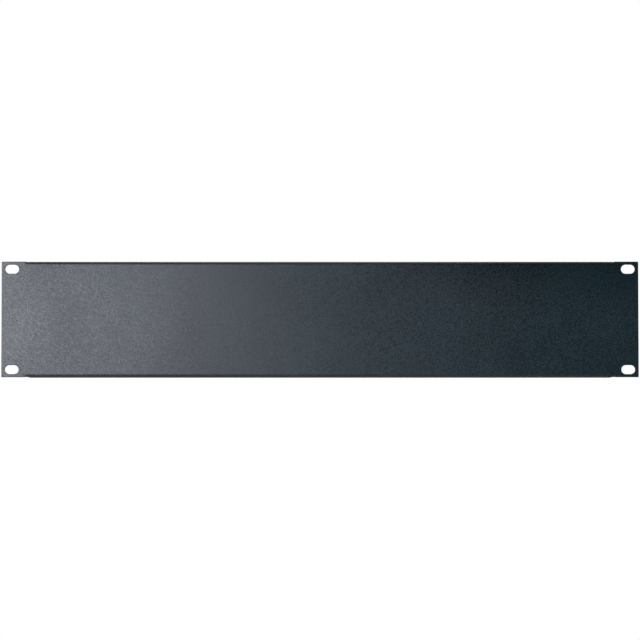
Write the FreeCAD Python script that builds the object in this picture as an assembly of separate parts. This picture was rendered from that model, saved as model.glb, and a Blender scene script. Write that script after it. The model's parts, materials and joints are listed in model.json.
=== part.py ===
"""Rack blanking panel, two rack units high, folded from one sheet of steel.

A flat front plate closes an empty space in a 19-inch rack. Its long edges are folded back at
right angles into two stiffening flanges. The flanges stop short of the panel's ends and leave a
flat ear at each side, which sits on the rack's rail and has two oblong screw slots. The ear's
edge is level with the flange's outer face and no relief is cut between them, so beside each
flange's end the fold fades out into the flat ear over a few millimetres.

Frame, in millimetres:
  X  along the panel, to the right for someone facing its front
  Y  backwards, into the rack
  Z  up
The origin is the centre of the four slots, on the rear face of the sheet. That face is the one
that seats on the rails, so the rack's mounting plane is Y = 0.
"""

import FreeCAD, Part
import math
import os

# The rack's grid
RACK_UNITS = 2              # height of the space to close
UNIT_HEIGHT = 44.45         # one rack unit
HOLE_TO_UNIT_EDGE = 6.35    # from a unit's edge to the centre of the rail hole next to it
SLOT_SPACING_X = 466.7      # across the rack, from slot centre to slot centre

# The sheet
SHEET_THICKNESS = 1.2
CORNER_RADIUS = 0.6         # at the blank's outer corners

# The front plate
PANEL_GAP = 1.2             # what the panel's height leaves free of its space
SLOT_LENGTH = 10.3          # along X
SLOT_HEIGHT = 6.8
SLOT_TO_END = 2.8           # metal between a slot and the panel's end
SLOT_TO_FADE = 4.0          # metal between a slot and the start of the fading fold

# The flanges
FLANGE_DEPTH = 12.0         # from the front face to the flange's rear edge
BEND_INNER_RADIUS = 1.2
FADE_LENGTH = 3.4           # along X, from the flange's end to where the ear is flat
FADE_SPANS = 12             # between the cross-sections that shape the fade

# What follows from them
SPACE_HEIGHT = RACK_UNITS * UNIT_HEIGHT
SLOT_SPACING_Z = SPACE_HEIGHT - 2 * HOLE_TO_UNIT_EDGE
EAR_WIDTH = SLOT_TO_END + SLOT_LENGTH + SLOT_TO_FADE + FADE_LENGTH
PANEL_END_X = (SLOT_SPACING_X + SLOT_LENGTH) / 2 + SLOT_TO_END
FLANGE_END_X = PANEL_END_X - EAR_WIDTH
FADE_END_X = FLANGE_END_X + FADE_LENGTH
PANEL_EDGE_Z = (SPACE_HEIGHT - PANEL_GAP) / 2
BEND_OUTER_RADIUS = BEND_INNER_RADIUS + SHEET_THICKNESS
BEND_START_Z = PANEL_EDGE_Z - BEND_OUTER_RADIUS     # the plate is flat up to here
REAR_Y = 0.0
FRONT_Y = REAR_Y - SHEET_THICKNESS
FLANGE_EDGE_Y = FRONT_Y + FLANGE_DEPTH
RIGHT_ANGLE = math.pi / 2
TOLERANCE = 1e-6


def at(x, y, z):
    """A point in the panel's frame."""
    return FreeCAD.Vector(x, y, z)


def line(start, end):
    """A straight edge."""
    return Part.LineSegment(start, end).toShape()


def arc(start, middle, end):
    """A round edge through three points."""
    return Part.Arc(start, middle, end).toShape()


def closed(edges):
    """The closed outline that a set of edges makes, in whichever order they come."""
    return Part.Wire(Part.sortEdges(edges)[0])


def flipped(shapes, normal):
    """Copies of shapes, mirrored in the plane through the origin with this normal."""
    return [shape.mirror(at(0, 0, 0), normal) for shape in shapes]


def upside_down(shapes):
    """The same shapes at the panel's other long edge."""
    return flipped(shapes, at(0, 0, 1))


def other_end(shapes):
    """The same shapes at the panel's other end."""
    return flipped(shapes, at(1, 0, 0))


def fold_point(x, outer_radius, depth, turn):
    """A point of the upper fold: depth lies under the sheet's front face, and turn is the angle
    that the sheet has turned through since the flat plate."""
    radius = outer_radius - depth
    y = FRONT_Y + outer_radius - radius * math.cos(turn)
    z = BEND_START_Z + radius * math.sin(turn)
    return at(x, y, z)


def fold_arc(x, outer_radius, depth, turn):
    """One face of the sheet, from the flat plate to where it has turned through an angle."""
    start, middle, end = (fold_point(x, outer_radius, depth, turn * share) for share in (0, 0.5, 1))
    return arc(start, middle, end)


def channel_section(x):
    """The outline of the front plate with both flanges, cut across the panel."""
    outer_z = PANEL_EDGE_Z
    inner_z = PANEL_EDGE_Z - SHEET_THICKNESS
    upper = [
        fold_arc(x, BEND_OUTER_RADIUS, 0, RIGHT_ANGLE),
        line(at(x, BEND_INNER_RADIUS, outer_z), at(x, FLANGE_EDGE_Y, outer_z)),
        line(at(x, FLANGE_EDGE_Y, outer_z), at(x, FLANGE_EDGE_Y, inner_z)),
        line(at(x, FLANGE_EDGE_Y, inner_z), at(x, BEND_INNER_RADIUS, inner_z)),
        fold_arc(x, BEND_OUTER_RADIUS, SHEET_THICKNESS, RIGHT_ANGLE),
    ]
    front = line(at(x, FRONT_Y, -BEND_START_Z), at(x, FRONT_Y, BEND_START_Z))
    rear = line(at(x, REAR_Y, -BEND_START_Z), at(x, REAR_Y, BEND_START_Z))
    return closed([front, rear, *upper, *upside_down(upper)])


def channel():
    """The front plate between the ears with both flanges, whose free corners are rounded."""
    body = Part.Face(channel_section(-FLANGE_END_X)).extrude(at(2 * FLANGE_END_X, 0, 0))

    def is_free_corner(edge):
        box = edge.BoundBox
        upright = box.XLength < TOLERANCE and box.YLength < TOLERANCE
        return upright and abs(box.YMax - FLANGE_EDGE_Y) < TOLERANCE

    return body.makeFillet(CORNER_RADIUS, [edge for edge in body.Edges if is_free_corner(edge)])


def ear_outline():
    """The edge of the right-hand ear's flat part, on the front face. Beside the fade it is as
    high as the flat plate, and further out it is as high as the panel."""
    r = CORNER_RADIUS
    cut = r * (1 - math.sqrt(0.5))
    y, end, top, waist = FRONT_Y, PANEL_END_X, PANEL_EDGE_Z, BEND_START_Z
    upper = [
        line(at(FLANGE_END_X, y, waist), at(FADE_END_X, y, waist)),
        line(at(FADE_END_X, y, waist), at(FADE_END_X, y, top)),
        line(at(FADE_END_X, y, top), at(end - r, y, top)),
        arc(at(end - r, y, top), at(end - cut, y, top - cut), at(end, y, top - r)),
    ]
    seam = line(at(FLANGE_END_X, y, -waist), at(FLANGE_END_X, y, waist))
    panel_end = line(at(end, y, r - top), at(end, y, top - r))
    return closed([seam, panel_end, *upper, *upside_down(upper)])


def slot_outline(x, z):
    """The edge of the oblong slot about a centre, on the front face."""
    r = SLOT_HEIGHT / 2
    run = SLOT_LENGTH / 2 - r
    y = FRONT_Y
    return closed([
        line(at(x - run, y, z + r), at(x + run, y, z + r)),
        arc(at(x + run, y, z + r), at(x + run + r, y, z), at(x + run, y, z - r)),
        line(at(x + run, y, z - r), at(x - run, y, z - r)),
        arc(at(x - run, y, z - r), at(x - run - r, y, z), at(x - run, y, z + r)),
    ])


def ear():
    """The flat part of the right-hand ear, with its two slots."""
    slots = [slot_outline(SLOT_SPACING_X / 2, z) for z in (-SLOT_SPACING_Z / 2, SLOT_SPACING_Z / 2)]
    return Part.Face([ear_outline(), *slots]).extrude(at(0, SHEET_THICKNESS, 0))


def turned_section(x, turn):
    """The outline of the ear's upper edge strip, cut where the fold turns it through an angle.
    The strip's outer rim stays level with the panel's edge."""
    outer_radius = BEND_OUTER_RADIUS / math.sin(turn)

    def across(turn_here):
        """The edge through the sheet, from its front face to its rear face."""
        front, rear = (fold_point(x, outer_radius, depth, turn_here) for depth in (0, SHEET_THICKNESS))
        return line(front, rear)

    front_face, rear_face = (fold_arc(x, outer_radius, depth, turn) for depth in (0, SHEET_THICKNESS))
    return Part.Wire([front_face, across(turn), rear_face, across(0)])


def flat_section(x):
    """The outline of the same strip where the fold has died out."""
    corners = [
        at(x, FRONT_Y, BEND_START_Z),
        at(x, FRONT_Y, PANEL_EDGE_Z),
        at(x, REAR_Y, PANEL_EDGE_Z),
        at(x, REAR_Y, BEND_START_Z),
    ]
    return Part.makePolygon([*corners, corners[0]])


def fold_fade():
    """The strip along the right-hand ear's upper edge where the fold fades from a right angle
    at the flange to nothing on the ear. It eases in and out, so both joints are smooth."""
    sections = []
    for span in range(FADE_SPANS):
        along = span / FADE_SPANS
        turn = RIGHT_ANGLE * (1 + math.cos(math.pi * along)) / 2
        sections.append(turned_section(FLANGE_END_X + FADE_LENGTH * along, turn))
    return Part.makeLoft([*sections, flat_section(FADE_END_X)], True)


def panel():
    """The whole folded sheet, as one solid."""
    upper_fade = fold_fade()
    right_end = [ear(), upper_fade, *upside_down([upper_fade])]
    return channel().fuse([*right_end, *other_end(right_end)]).removeSplitter()


def main():
    """Writes the panel to its own file."""
    os.makedirs("parts", exist_ok=True)
    panel().exportStep("parts/panel.step")


main()
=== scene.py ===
"""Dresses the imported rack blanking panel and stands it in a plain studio.

The panel is one folded steel sheet with a black powder coat. Its mesh is made the way the real
one is: a flat blank is cut out with rounded rims, and then each of its points is folded into
place. The studio has a pale floor, a white surround, soft lights, a card that shades one of
them, and a long lens.

Blender's units are metres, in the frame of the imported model: X along the panel, Y backwards into
the rack, Z up, and Y = 0 on the face that seats on the rack's rails.
"""

import json
import logging
import math
from dataclasses import dataclass
from enum import Enum
from itertools import pairwise
from typing import Any, Iterable, Mapping, Sequence

import bmesh
import bpy
from mathutils import Matrix, Vector
from mathutils.geometry import delaunay_2d_cdt


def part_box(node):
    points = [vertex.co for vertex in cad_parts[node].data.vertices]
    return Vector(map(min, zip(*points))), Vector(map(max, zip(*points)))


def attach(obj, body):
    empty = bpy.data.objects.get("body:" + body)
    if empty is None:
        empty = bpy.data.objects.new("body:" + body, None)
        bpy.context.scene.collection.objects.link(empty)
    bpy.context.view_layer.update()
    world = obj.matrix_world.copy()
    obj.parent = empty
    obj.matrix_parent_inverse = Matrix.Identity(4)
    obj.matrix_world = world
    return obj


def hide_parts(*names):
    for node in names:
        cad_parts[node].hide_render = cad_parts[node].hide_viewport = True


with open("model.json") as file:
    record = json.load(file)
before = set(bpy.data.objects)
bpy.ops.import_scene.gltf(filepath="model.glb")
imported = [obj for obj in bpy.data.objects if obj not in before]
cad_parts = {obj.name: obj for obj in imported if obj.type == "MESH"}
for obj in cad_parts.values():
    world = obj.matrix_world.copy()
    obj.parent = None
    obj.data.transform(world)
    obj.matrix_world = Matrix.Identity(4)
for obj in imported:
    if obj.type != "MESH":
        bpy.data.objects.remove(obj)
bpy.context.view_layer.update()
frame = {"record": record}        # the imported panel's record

MM = 0.001
RIGHT_ANGLE = math.pi / 2
WELD = 0.0001 * MM          # points closer than this are one
TRIANGLES_INSIDE = 1        # asks for triangles, and only within the outlines
FLAT_TURN = 1e-4            # a fold through a smaller angle is flat
NOISE_MIDDLE = 0.5          # what a noise value varies about

Colour = tuple[float, float, float]
WHITE: Colour = (1.00, 1.00, 1.00)
COOL: Colour = (1.00, 0.97, 1.05)
WARM: Colour = (1.00, 0.88, 0.80)
log = logging.getLogger("panel")


# ---------------------------------------------------------------- shader nodes


class Shade:
    """A value that comes out of a node. Arithmetic on it adds Math nodes."""

    def __init__(self, board: "NodeBoard", socket: bpy.types.NodeSocket) -> None:
        """Wraps an output socket of a node on a board."""
        self.board = board
        self.socket = socket

    def math(self, operation: str, *values: "Shade | float") -> "Shade":
        """Puts values through one Math node, in the order of its inputs."""
        return self.board.add("ShaderNodeMath", {"operation": operation}, dict(enumerate(values)))

    def __add__(self, other: "Shade | float") -> "Shade":
        """This value plus another."""
        return self.math("ADD", self, other)

    def __radd__(self, other: float) -> "Shade":
        """A number plus this value."""
        return self.math("ADD", other, self)

    def __sub__(self, other: "Shade | float") -> "Shade":
        """This value less another."""
        return self.math("SUBTRACT", self, other)

    def __rsub__(self, other: float) -> "Shade":
        """A number less this value."""
        return self.math("SUBTRACT", other, self)

    def __mul__(self, other: "Shade | float") -> "Shade":
        """This value times another."""
        return self.math("MULTIPLY", self, other)

    def __rmul__(self, other: float) -> "Shade":
        """A number times this value."""
        return self.math("MULTIPLY", other, self)

    def highest(self, other: "Shade | float") -> "Shade":
        """The larger of this value and another."""
        return self.math("MAXIMUM", self, other)

    def eased(self, start: float, end: float) -> "Shade":
        """Rises smoothly from 0 to 1 as this value goes from start to end."""
        inputs = {"Value": self, "From Min": start, "From Max": end}
        return self.board.add("ShaderNodeMapRange", {"interpolation_type": "SMOOTHSTEP"}, inputs)


class NodeBoard:
    """A node tree that is filled one node at a time."""

    def __init__(self, tree: bpy.types.NodeTree) -> None:
        """Clears the node tree of a material or of the world to start on."""
        self.tree = tree
        tree.nodes.clear()

    def put(
        self,
        kind: str,
        settings: Mapping[str, Any] | None = None,
        inputs: Mapping[str | int, Any] | None = None,
    ) -> bpy.types.Node:
        """Adds one node.

        Args:
            kind: The node's type.
            settings: What the node is set to before its sockets are used.
            inputs: A number, colour or Shade for each socket, by place, identifier or name.

        Returns:
            The node.
        """
        node = self.tree.nodes.new(kind)
        for name, value in (settings or {}).items():
            setattr(node, name, value)
        for key, value in (inputs or {}).items():
            socket = self.socket_of(node.inputs, key)
            if isinstance(value, Shade):
                self.tree.links.new(value.socket, socket)
            else:
                socket.default_value = value
        return node

    def add(
        self,
        kind: str,
        settings: Mapping[str, Any] | None = None,
        inputs: Mapping[str | int, Any] | None = None,
        output: str | int = 0,
    ) -> Shade:
        """Puts one node and gives back its output of a place, identifier or name."""
        node = self.put(kind, settings, inputs)
        return Shade(self, self.socket_of(node.outputs, output))

    @staticmethod
    def socket_of(sockets: Iterable[bpy.types.NodeSocket], key: str | int) -> bpy.types.NodeSocket:
        """Finds a socket of a node.

        Args:
            sockets: The node's inputs or outputs.
            key: The socket's place, its identifier or its name.

        Returns:
            The socket.
        """
        listed = list(sockets)
        if isinstance(key, int):
            return listed[key]
        by_identifier = [socket for socket in listed if socket.identifier == key]
        return (by_identifier or [socket for socket in listed if socket.name == key])[0]

    def mixed(self, share: Shade | float, first: Any, second: Any) -> Shade:
        """Blends two colours: the share is how much of the second one shows."""
        inputs = {"Factor_Float": share, "A_Color": first, "B_Color": second}
        return self.add("ShaderNodeMix", {"data_type": "RGBA"}, inputs, "Result_Color")

    def noise(self, place: Shade, grain: float, detail: float = 0.0) -> Shade:
        """A cloudy value from 0 to 1: one cloud is a grain wide, with finer layers of detail on it."""
        inputs = {"Vector": place, "Scale": 1 / grain, "Detail": detail}
        return self.add("ShaderNodeTexNoise", {}, inputs, "Fac")


def opaque(colour: Colour) -> tuple[float, float, float, float]:
    """A colour with full alpha, as a node's socket takes it."""
    return (*colour, 1.0)


def mesh_object(name: str, mesh: bmesh.types.BMesh, material: bpy.types.Material) -> bpy.types.Object:
    """Makes an object of a finished mesh and puts it in the scene.

    Args:
        name: The object's name.
        mesh: The mesh, which is freed.
        material: What covers it.

    Returns:
        The object.
    """
    data = bpy.data.meshes.new(name)
    mesh.to_mesh(data)
    mesh.free()
    data.materials.append(material)
    made = bpy.data.objects.new(name, data)
    bpy.context.scene.collection.objects.link(made)
    return made


# -------------------------------------------------------------------- finishes


@dataclass(frozen=True)
class PowderCoat:
    """Satin black powder coat: nearly black with a blue-green cast, slightly uneven in gloss,
    with the orange peel and the fine grain of the cured powder."""

    name: str = "powder_coat"
    dark: Colour = (0.0002, 0.0040, 0.0070)
    pale: Colour = (0.0080, 0.0180, 0.0230)
    specular: float = 0.59
    roughness: float = 0.42
    fleck_size: float = 0.80 * MM
    fleck_tint: float = 4.4
    fleck_gloss: float = 0.28
    cloud_size: float = 60 * MM
    cloud_tint: float = 3.0
    cloud_detail: float = 2.0
    patch_size: float = 80 * MM
    patch_gloss: float = 0.15
    grain_size: float = 0.75 * MM
    grain_height: float = 0.028 * MM
    peel_size: float = 2.4 * MM
    peel_height: float = 0.020 * MM

    def material(self) -> bpy.types.Material:
        """Makes the finish.

        Returns:
            The material.
        """
        material = bpy.data.materials.new(self.name)
        material.use_nodes = True
        board = NodeBoard(material.node_tree)
        place = board.add("ShaderNodeTexCoord", output="Object")
        flecks = board.noise(place, self.fleck_size)
        clouds = board.noise(place, self.cloud_size, self.cloud_detail)
        patches = board.noise(place, self.patch_size, self.cloud_detail)
        tint = (
            NOISE_MIDDLE
            + (flecks - NOISE_MIDDLE) * self.fleck_tint
            + (clouds - NOISE_MIDDLE) * self.cloud_tint
        )
        colour = board.mixed(tint, opaque(self.dark), opaque(self.pale))
        gloss = (
            self.roughness
            + (flecks - NOISE_MIDDLE) * self.fleck_gloss
            + (patches - NOISE_MIDDLE) * self.patch_gloss
        )
        height = (
            board.noise(place, self.grain_size) * self.grain_height
            + board.noise(place, self.peel_size) * self.peel_height
        )
        relief = board.add("ShaderNodeBump", {}, {"Height": height, "Distance": 1.0})
        inputs = {
            "Base Color": colour,
            "Roughness": gloss,
            "Specular IOR Level": self.specular,
            "Normal": relief,
        }
        coat = board.add("ShaderNodeBsdfPrincipled", {}, inputs)
        board.put("ShaderNodeOutputMaterial", {}, {"Surface": coat})
        return material


@dataclass(frozen=True)
class StudioFloor:
    """Matt white paint that melts into the white surround away from the object. From below, the
    floor doesn't hide what stands over it."""

    name: str = "studio_floor"
    colour: Colour = (0.66, 0.66, 0.66)
    roughness: float = 0.9
    melt_start: float = 0.55
    melt_end: float = 1.25

    def material(self) -> bpy.types.Material:
        """Makes the paint.

        Returns:
            The material.
        """
        material = bpy.data.materials.new(self.name)
        material.use_nodes = True
        board = NodeBoard(material.node_tree)
        inputs = {"Base Color": opaque(self.colour), "Roughness": self.roughness}
        paint = board.add("ShaderNodeBsdfPrincipled", {}, inputs)
        white = board.add("ShaderNodeEmission", {}, {"Color": opaque(WHITE)})
        clear = board.add("ShaderNodeBsdfTransparent")
        place = board.add("ShaderNodeTexCoord", output="Object")
        distance = board.add("ShaderNodeVectorMath", {"operation": "LENGTH"}, {0: place}, "Value")
        seen = board.add("ShaderNodeLightPath", output="Is Camera Ray")
        melted = distance.eased(self.melt_start, self.melt_end) * seen
        top = board.add("ShaderNodeMixShader", {}, {0: melted, 1: paint, 2: white})
        from_below = board.add("ShaderNodeNewGeometry", output="Backfacing")
        both = board.add("ShaderNodeMixShader", {}, {0: from_below, 1: top, 2: clear})
        board.put("ShaderNodeOutputMaterial", {}, {"Surface": both})
        return material


# ------------------------------------------------------------------- the sheet


class Layer(Enum):
    """A face of the sheet, and its depth under the front face as a share of the thickness."""

    FRONT = 0.0
    REAR = 1.0


@dataclass(frozen=True)
class SheetSizes:
    """The panel's sizes in metres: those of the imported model, and those that it doesn't state."""

    end_x: float
    edge_z: float
    thickness: float
    flange_edge_y: float
    slot_x: float
    slot_z: float
    slot_length: float
    slot_height: float
    ear_width: float = 20.5 * MM
    fade_length: float = 3.4 * MM
    bend_inner_radius: float = 1.2 * MM
    corner_radius: float = 0.6 * MM
    notch_radius: float = 0.3 * MM
    rim_radius: float = 0.35 * MM

    @classmethod
    def from_frame(cls, node: str, mount: str) -> "SheetSizes":
        """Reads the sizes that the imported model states.

        Args:
            node: The panel's node.
            mount: The mount of its four slots.

        Returns:
            The sizes.
        """
        low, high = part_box(node)
        dims = next(m["dims"] for m in frame["record"]["mounts"] if m["name"] == mount)
        return cls(
            end_x=high.x,
            edge_z=high.z,
            thickness=-low.y,
            flange_edge_y=high.y,
            slot_x=dims["spacing_x_mm"] * MM / 2,
            slot_z=dims["spacing_y_mm"] * MM / 2,
            slot_length=dims["slot_length_mm"] * MM,
            slot_height=dims["hole_r_mm"] * MM * 2,
        )

    @property
    def flange_end_x(self) -> float:
        """Where a flange ends along the panel."""
        return self.end_x - self.ear_width

    @property
    def bend_outer_radius(self) -> float:
        """The fold's radius on the front face."""
        return self.bend_inner_radius + self.thickness

    @property
    def bend_start(self) -> float:
        """How far up the blank the flat plate goes."""
        return self.edge_z - self.bend_outer_radius

    @property
    def blank_edge(self) -> float:
        """How far up the blank goes where it becomes a flange."""
        return self.edge_z + self.flange_edge_y - self.bend_inner_radius


@dataclass(frozen=True)
class Blank:
    """The flat sheet before folding, in the plane of X and of the way up its front face."""

    sizes: SheetSizes
    arc_step: float = 0.25 * MM
    least_arc_steps: int = 4
    fade_steps: int = 12
    bend_steps: int = 12
    rim_steps: int = 4
    support: float = 0.06 * MM      # a narrow flat band along each rim and bend
    same_point: float = 0.006 * MM  # an outline's points lie further apart than this

    def rounded(self, corners: Sequence[tuple[float, float, float]]) -> list[Vector]:
        """Draws a closed outline with rounded corners.

        Args:
            corners: Each corner's place and its radius.

        Returns:
            The outline's points, in the corners' order.
        """
        points: list[Vector] = []
        for index, (x, up, radius) in enumerate(corners):
            corner = Vector((x, up))
            before = Vector(corners[index - 1][:2])
            after = Vector(corners[(index + 1) % len(corners)][:2])
            back, on = (before - corner).normalized(), (after - corner).normalized()
            centre = corner + (back + on) * radius
            spoke = corner + back * radius - centre
            turn = -math.copysign(RIGHT_ANGLE, back.cross(on))
            steps = max(self.least_arc_steps, round(radius * RIGHT_ANGLE / self.arc_step))
            for step in range(steps + 1):
                point = centre + Matrix.Rotation(turn * step / steps, 2) @ spoke
                if not points or (point - points[-1]).length > self.same_point:
                    points.append(point)
        if (points[0] - points[-1]).length < self.same_point:
            points.pop()
        return points

    def outline(self) -> list[Vector]:
        """Draws the blank's outer edge, anticlockwise.

        Returns:
            Its points, which are closer together where the fold fades.
        """
        s = self.sizes
        end, flange, edge, far = s.end_x, s.flange_end_x, s.edge_z, s.blank_edge
        corner, notch = s.corner_radius, s.notch_radius
        quarter = [(end, edge, corner), (flange, edge, notch), (flange, far, corner)]
        upper = quarter + [(-x, up, radius) for x, up, radius in reversed(quarter)]
        lower = [(-x, -up, radius) for x, up, radius in upper]
        return self.with_stations(self.rounded([*upper, *lower]))

    def fade_stations(self) -> list[float]:
        """The places along the right-hand ear where the fading fold is cut across."""
        start, length = self.sizes.flange_end_x, self.sizes.fade_length
        return [start + length * step / self.fade_steps for step in range(self.fade_steps + 1)]

    def with_stations(self, outline: Sequence[Vector]) -> list[Vector]:
        """Adds a point to an outline wherever it crosses a fade station.

        Args:
            outline: The points of a closed outline.

        Returns:
            The outline with the added points.
        """
        stations = [side * x for x in self.fade_stations() for side in (-1, 1)]
        points: list[Vector] = []
        for start, end in pairwise([*outline, outline[0]]):
            points.append(start)
            run = end.x - start.x
            if abs(run) < self.support:
                continue
            shares = sorted((x - start.x) / run for x in stations)
            room = self.support / abs(run)
            points += [start.lerp(end, share) for share in shares if room < share < 1 - room]
        return points

    def slots(self) -> list[list[Vector]]:
        """Draws the edges of the four slots, clockwise.

        Returns:
            The points of each edge.
        """
        s = self.sizes
        reach, rise = s.slot_length / 2, s.slot_height / 2
        around = ((-reach, -rise), (-reach, rise), (reach, rise), (reach, -rise))
        return [
            self.rounded([(side * s.slot_x + x, level * s.slot_z + up, rise) for x, up in around])
            for side in (-1, 1)
            for level in (-1, 1)
        ]

    def rim(self) -> list[tuple[float, float]]:
        """Draws the rounded section of a cut edge, from the front face over the rim to the rear.

        Returns:
            How far in from the outline and how deep under the front face each step lies.
        """
        radius, steps = self.sizes.rim_radius, self.rim_steps
        angles = [RIGHT_ANGLE * step / steps for step in range(steps + 1)]
        front = [(radius + self.support, 0.0)]
        front += [(radius * (1 - math.sin(a)), radius * (1 - math.cos(a))) for a in angles]
        return front + [(inset, self.sizes.thickness - depth) for inset, depth in reversed(front)]

    def fold_lines(self) -> list[list[Vector]]:
        """Draws lines along the upper and lower folds, at each step of the bend. Where the ear's
        rim leaves no room for them they stop at the flange's end.

        Returns:
            The points of each line.
        """
        s = self.sizes
        room = s.rim_radius + 2 * self.support
        levels = [s.bend_start - self.support, s.edge_z + self.support]
        levels += [
            s.bend_start + s.bend_outer_radius * step / self.bend_steps
            for step in range(self.bend_steps + 1)
        ]
        lines = []
        for level in levels:
            if level < s.edge_z - room:
                half = [s.flange_end_x - room, *self.fade_stations()]
            else:
                half = [s.flange_end_x - room]
            stations = [-x for x in reversed(half)] + half
            lines += [[Vector((x, side * level)) for x in stations] for side in (-1, 1)]
        return lines


def inset_loop(loop: Sequence[Vector], inset: float) -> list[Vector]:
    """Moves a closed outline into the metal on its left.

    Args:
        loop: The outline's points.
        inset: How far each of its edges moves.

    Returns:
        The moved points.
    """
    moved = []
    for index, point in enumerate(loop):
        before = (point - loop[index - 1]).normalized()
        after = (loop[(index + 1) % len(loop)] - point).normalized()
        left = Vector((-before.y - after.y, before.x + after.x))
        moved.append(point + left * inset / (1 + before.dot(after)))
    return moved


def in_metal(point: Vector, loops: Sequence[Sequence[Vector]]) -> bool:
    """Tells metal from holes by counting the edges to the right of a point.

    Args:
        point: The point to test.
        loops: The outer edge and the edges of the holes.

    Returns:
        Whether the point is in the metal.
    """
    crossed = 0
    for loop in loops:
        for a, b in pairwise([*loop, loop[0]]):
            if (a.y > point.y) != (b.y > point.y):
                crossed += point.x < a.x + (b.x - a.x) * (point.y - a.y) / (b.y - a.y)
    return crossed % 2 == 1


@dataclass
class FoldedPanel:
    """The panel: a blank with rounded rims, folded into shape and powder coated."""

    sizes: SheetSizes
    finish: PowderCoat
    node: str = "panel"
    body: str = "root"

    def fold_turn(self, x: float) -> float:
        """The angle of the whole fold at a place along the panel: it eases to nothing on the ears."""
        along = (abs(x) - self.sizes.flange_end_x) / self.sizes.fade_length
        return RIGHT_ANGLE * (1 + math.cos(math.pi * min(max(along, 0.0), 1.0))) / 2

    def folded(self, point: Vector, depth: float) -> Vector:
        """Where a point of the blank ends up once the sheet is folded.

        Args:
            point: The point on the blank.
            depth: Its depth under the front face.

        Returns:
            The point in the panel's frame.
        """
        s = self.sizes
        run = abs(point.y) - s.bend_start
        whole_turn = self.fold_turn(point.x)
        if run <= 0 or whole_turn < FLAT_TURN:
            return Vector((point.x, depth - s.thickness, point.y))
        outer_radius = s.bend_outer_radius / math.sin(whole_turn)
        turn = whole_turn * min(run / s.bend_outer_radius, 1.0)
        straight = max(run - s.bend_outer_radius, 0.0)
        radius = outer_radius - depth
        y = outer_radius - s.thickness - radius * math.cos(turn) + straight * math.sin(turn)
        z = s.bend_start + radius * math.sin(turn) + straight * math.cos(turn)
        return Vector((point.x, y, math.copysign(z, point.y)))

    def build(self) -> bpy.types.Object:
        """Makes the folded mesh.

        Returns:
            The panel's object, with its finish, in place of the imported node.
        """
        blank = Blank(self.sizes)
        edges = [blank.outline(), *blank.slots()]
        rim = blank.rim()
        mesh = bmesh.new()
        rings = [
            [
                [mesh.verts.new(self.folded(point, depth)) for point in inset_loop(loop, inset)]
                for inset, depth in rim
            ]
            for loop in edges
        ]
        for loop_rings in rings:
            for near, far in pairwise(loop_rings):
                for index in range(len(near)):
                    mesh.faces.new((near[index - 1], near[index], far[index], far[index - 1]))
        inner = [inset_loop(loop, rim[0][0]) for loop in edges]
        for layer, place in ((Layer.FRONT, 0), (Layer.REAR, -1)):
            borders = [loop_rings[place] for loop_rings in rings]
            self.add_face(mesh, layer, inner, borders, blank.fold_lines())
        bmesh.ops.recalc_face_normals(mesh, faces=mesh.faces)
        piece = mesh_object("folded_panel", mesh, self.finish.material())
        piece.data.shade_smooth()
        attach(piece, self.body)
        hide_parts(self.node)
        return piece

    def add_face(
        self,
        mesh: bmesh.types.BMesh,
        layer: Layer,
        inner: Sequence[Sequence[Vector]],
        borders: Sequence[Sequence[bmesh.types.BMVert]],
        lines: Sequence[Sequence[Vector]],
    ) -> None:
        """Fills the front or the rear of the sheet between its rims.

        Args:
            mesh: The mesh to add it to.
            layer: Which face of the sheet it is.
            inner: The outlines of the face on the blank.
            borders: Their vertices in the mesh.
            lines: Lines on the blank that the face's edges have to follow.
        """
        depth = layer.value * self.sizes.thickness
        points: list[Vector] = []
        corners: list[bmesh.types.BMVert] = []
        links: list[tuple[int, int]] = []
        for loop, border in zip(inner, borders):
            first, count = len(points), len(loop)
            points += loop
            corners += border
            links += [(first + index, first + (index + 1) % count) for index in range(count)]
        for line in lines:
            first = len(points)
            points += line
            corners += [mesh.verts.new(self.folded(point, depth)) for point in line]
            links += pairwise(range(first, len(points)))
        placed, _, faces, origins, _, _ = delaunay_2d_cdt(points, links, [], TRIANGLES_INSIDE, WELD)
        for face in faces:
            centre = sum((placed[index] for index in face), Vector((0, 0))) / len(face)
            if in_metal(centre, inner):
                mesh.faces.new([corners[origins[index][0]] for index in face])


# ------------------------------------------------------------------ the studio


@dataclass(frozen=True)
class Softbox:
    """A soft light with a rectangular face."""

    name: str
    place: tuple[float, float, float]
    aim: tuple[float, float, float]
    width: float
    height: float
    power: float
    colour: Colour = WHITE

    def build(self) -> bpy.types.Object:
        """Hangs the light.

        Returns:
            Its object.
        """
        lamp = bpy.data.lights.new(self.name, "AREA")
        lamp.shape = "RECTANGLE"
        lamp.size, lamp.size_y = self.width, self.height
        lamp.energy = self.power
        lamp.color = self.colour
        light = bpy.data.objects.new(self.name, lamp)
        light.location = self.place
        towards = Vector(self.aim) - Vector(self.place)
        light.rotation_euler = towards.to_track_quat("-Z", "Y").to_euler()
        light.visible_camera = False
        bpy.context.scene.collection.objects.link(light)
        return light


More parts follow.
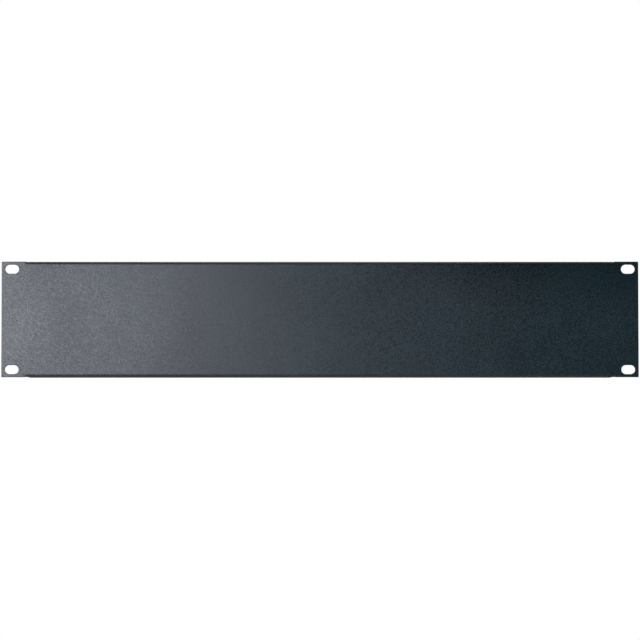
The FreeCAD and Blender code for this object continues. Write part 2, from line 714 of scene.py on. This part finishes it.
@dataclass(frozen=True)
class ShadingCard:
    """A black card that hangs upright in front of the panel, out of the lens's sight, and keeps
    some of the key light off the panel's upper right-hand corner."""

    name: str = "shading_card"
    place: tuple[float, float, float] = (0.11, -0.12, 0.09)
    size: float = 0.12
    colour: Colour = (0.01, 0.01, 0.01)
    roughness: float = 0.9

    def material(self) -> bpy.types.Material:
        """Makes the card's matt black.

        Returns:
            The material.
        """
        material = bpy.data.materials.new(self.name)
        material.use_nodes = True
        board = NodeBoard(material.node_tree)
        inputs = {"Base Color": opaque(self.colour), "Roughness": self.roughness}
        black = board.add("ShaderNodeBsdfPrincipled", {}, inputs)
        board.put("ShaderNodeOutputMaterial", {}, {"Surface": black})
        return material

    def build(self) -> bpy.types.Object:
        """Hangs the card, which isn't part of the object.

        Returns:
            Its object.
        """
        mesh = bmesh.new()
        bmesh.ops.create_grid(mesh, x_segments=1, y_segments=1, size=self.size / 2)
        card = mesh_object(self.name, mesh, self.material())
        card.location = self.place
        card.rotation_euler.x = RIGHT_ANGLE
        card.visible_camera = False
        return card


@dataclass(frozen=True)
class Studio:
    """A pale floor, a white surround, soft lights, a card that shades the key light, and a long
    lens a little below the panel."""

    panel: SheetSizes
    card: ShadingCard = ShadingCard()
    floor_finish: StudioFloor = StudioFloor()
    floor_depth: float = 0.32
    floor_radius: float = 1.3
    floor_sides: int = 96
    front_glow: Colour = (0.035, 0.26, 0.35)
    front_shade: Colour = (0.085, 0.085, 0.085)
    upper_shade: Colour = (0.36, 0.36, 0.36)
    white_rises: tuple[float, float] = (0.1, 0.6)   # with how far a direction points to the rear
    shade_rises: tuple[float, float] = (0.0, 0.5)   # with the same, and with how far it points up
    shade_lift: float = 0.35
    glow_fades: tuple[float, float] = (0.1, 0.5)    # with how far a direction points up
    camera_distance: float = 2.8
    camera_reach: float = 28.0
    camera_elevation: float = math.radians(-3.2)
    aim_drop: float = 0.50 * MM
    frame_share: float = 0.9954     # how much of the view's width the panel fills
    softboxes: tuple[Softbox, ...] = (
        Softbox(
            "key_softbox",
            place=(-0.41, -0.553, 0.042),
            aim=(0.03, 0.0, 0.0),
            width=0.65,
            height=0.20,
            power=4.83,
            colour=COOL,
        ),
        Softbox(
            "rear_softbox",
            place=(0.85, 0.50, 0.35),
            aim=(0.0, 0.0, 0.0),
            width=0.50,
            height=0.50,
            power=2.5,
        ),
        Softbox(
            "top_softbox",
            place=(-0.03, 0.03, 0.70),
            aim=(-0.03, 0.03, 0.0),
            width=0.40,
            height=0.40,
            power=1.40,
            colour=WARM,
        ),
    )

    def build_floor(self) -> bpy.types.Object:
        """Lays the floor, which isn't part of the object.

        Returns:
            Its object.
        """
        mesh = bmesh.new()
        bmesh.ops.create_circle(
            mesh, cap_ends=True, segments=self.floor_sides, radius=self.floor_radius
        )
        floor = mesh_object(self.floor_finish.name, mesh, self.floor_finish.material())
        floor.location = (0.0, 0.0, -self.floor_depth)
        return floor

    def build_surround(self) -> bpy.types.World:
        """Paints the world. The lens sees white all around. So do reflections, but only behind
        the object, as the rest of a studio is dim, and dimmest on the lens's side, where its
        reflection has a blue-green glow.

        Returns:
            The world.
        """
        world = bpy.data.worlds.new("studio_surround")
        world.use_nodes = True
        bpy.context.scene.world = world
        board = NodeBoard(world.node_tree)
        direction = board.add("ShaderNodeTexCoord", output="Generated")
        rearward = board.add("ShaderNodeSeparateXYZ", {}, {"Vector": direction}, "Y")
        upward = board.add("ShaderNodeSeparateXYZ", {}, {"Vector": direction}, "Z")
        seen = board.add("ShaderNodeLightPath", output="Is Camera Ray")
        glossy = board.add("ShaderNodeLightPath", output="Is Glossy Ray")
        through = board.add("ShaderNodeLightPath", output="Is Transmission Ray")
        white = seen.highest(glossy.highest(through) * rearward.eased(*self.white_rises))
        away = (rearward + upward * self.shade_lift).eased(*self.shade_rises)
        level = 1.0 - upward.eased(*self.glow_fades)
        front = board.mixed(glossy * level, opaque(self.front_shade), opaque(self.front_glow))
        shade = board.mixed(away, front, opaque(self.upper_shade))
        colour = board.mixed(white, shade, opaque(WHITE))
        light = board.add("ShaderNodeBackground", {}, {"Color": colour, "Strength": 1.0})
        board.put("ShaderNodeOutputWorld", {}, {"Surface": light})
        return world

    def build_camera(self) -> bpy.types.Object:
        """Sets up the camera, square to the panel and a little below it.

        Returns:
            Its object.
        """
        lens = bpy.data.cameras.new("camera")
        lens.lens = lens.sensor_width * self.frame_share * self.camera_distance / (2 * self.panel.end_x)
        lens.clip_end = self.camera_reach
        camera = bpy.data.objects.new("camera", lens)
        aim = Vector((0.0, -self.panel.thickness, -self.aim_drop))
        tilt = self.camera_elevation
        back = Vector((0.0, -math.cos(tilt), math.sin(tilt)))
        camera.location = aim + back * self.camera_distance
        camera.rotation_euler = (-back).to_track_quat("-Z", "Y").to_euler()
        bpy.context.scene.collection.objects.link(camera)
        bpy.context.scene.camera = camera
        return camera

    def build(self) -> None:
        """Sets up the whole studio."""
        bpy.context.scene.view_settings.view_transform = "Standard"
        self.build_camera()
        self.build_surround()
        self.build_floor()
        self.card.build()
        for softbox in self.softboxes:
            softbox.build()
            log.info("light %s", softbox.name)


def main() -> None:
    """Builds the studio and the panel."""
    logging.basicConfig(level=logging.INFO, format="%(name)s: %(message)s")
    sizes = SheetSizes.from_frame("panel", "rack_slots")
    Studio(sizes).build()
    panel = FoldedPanel(sizes, PowderCoat()).build()
    log.info("piece %s with %d faces", panel.name, len(panel.data.polygons))


if __name__ == "__main__":
    main()
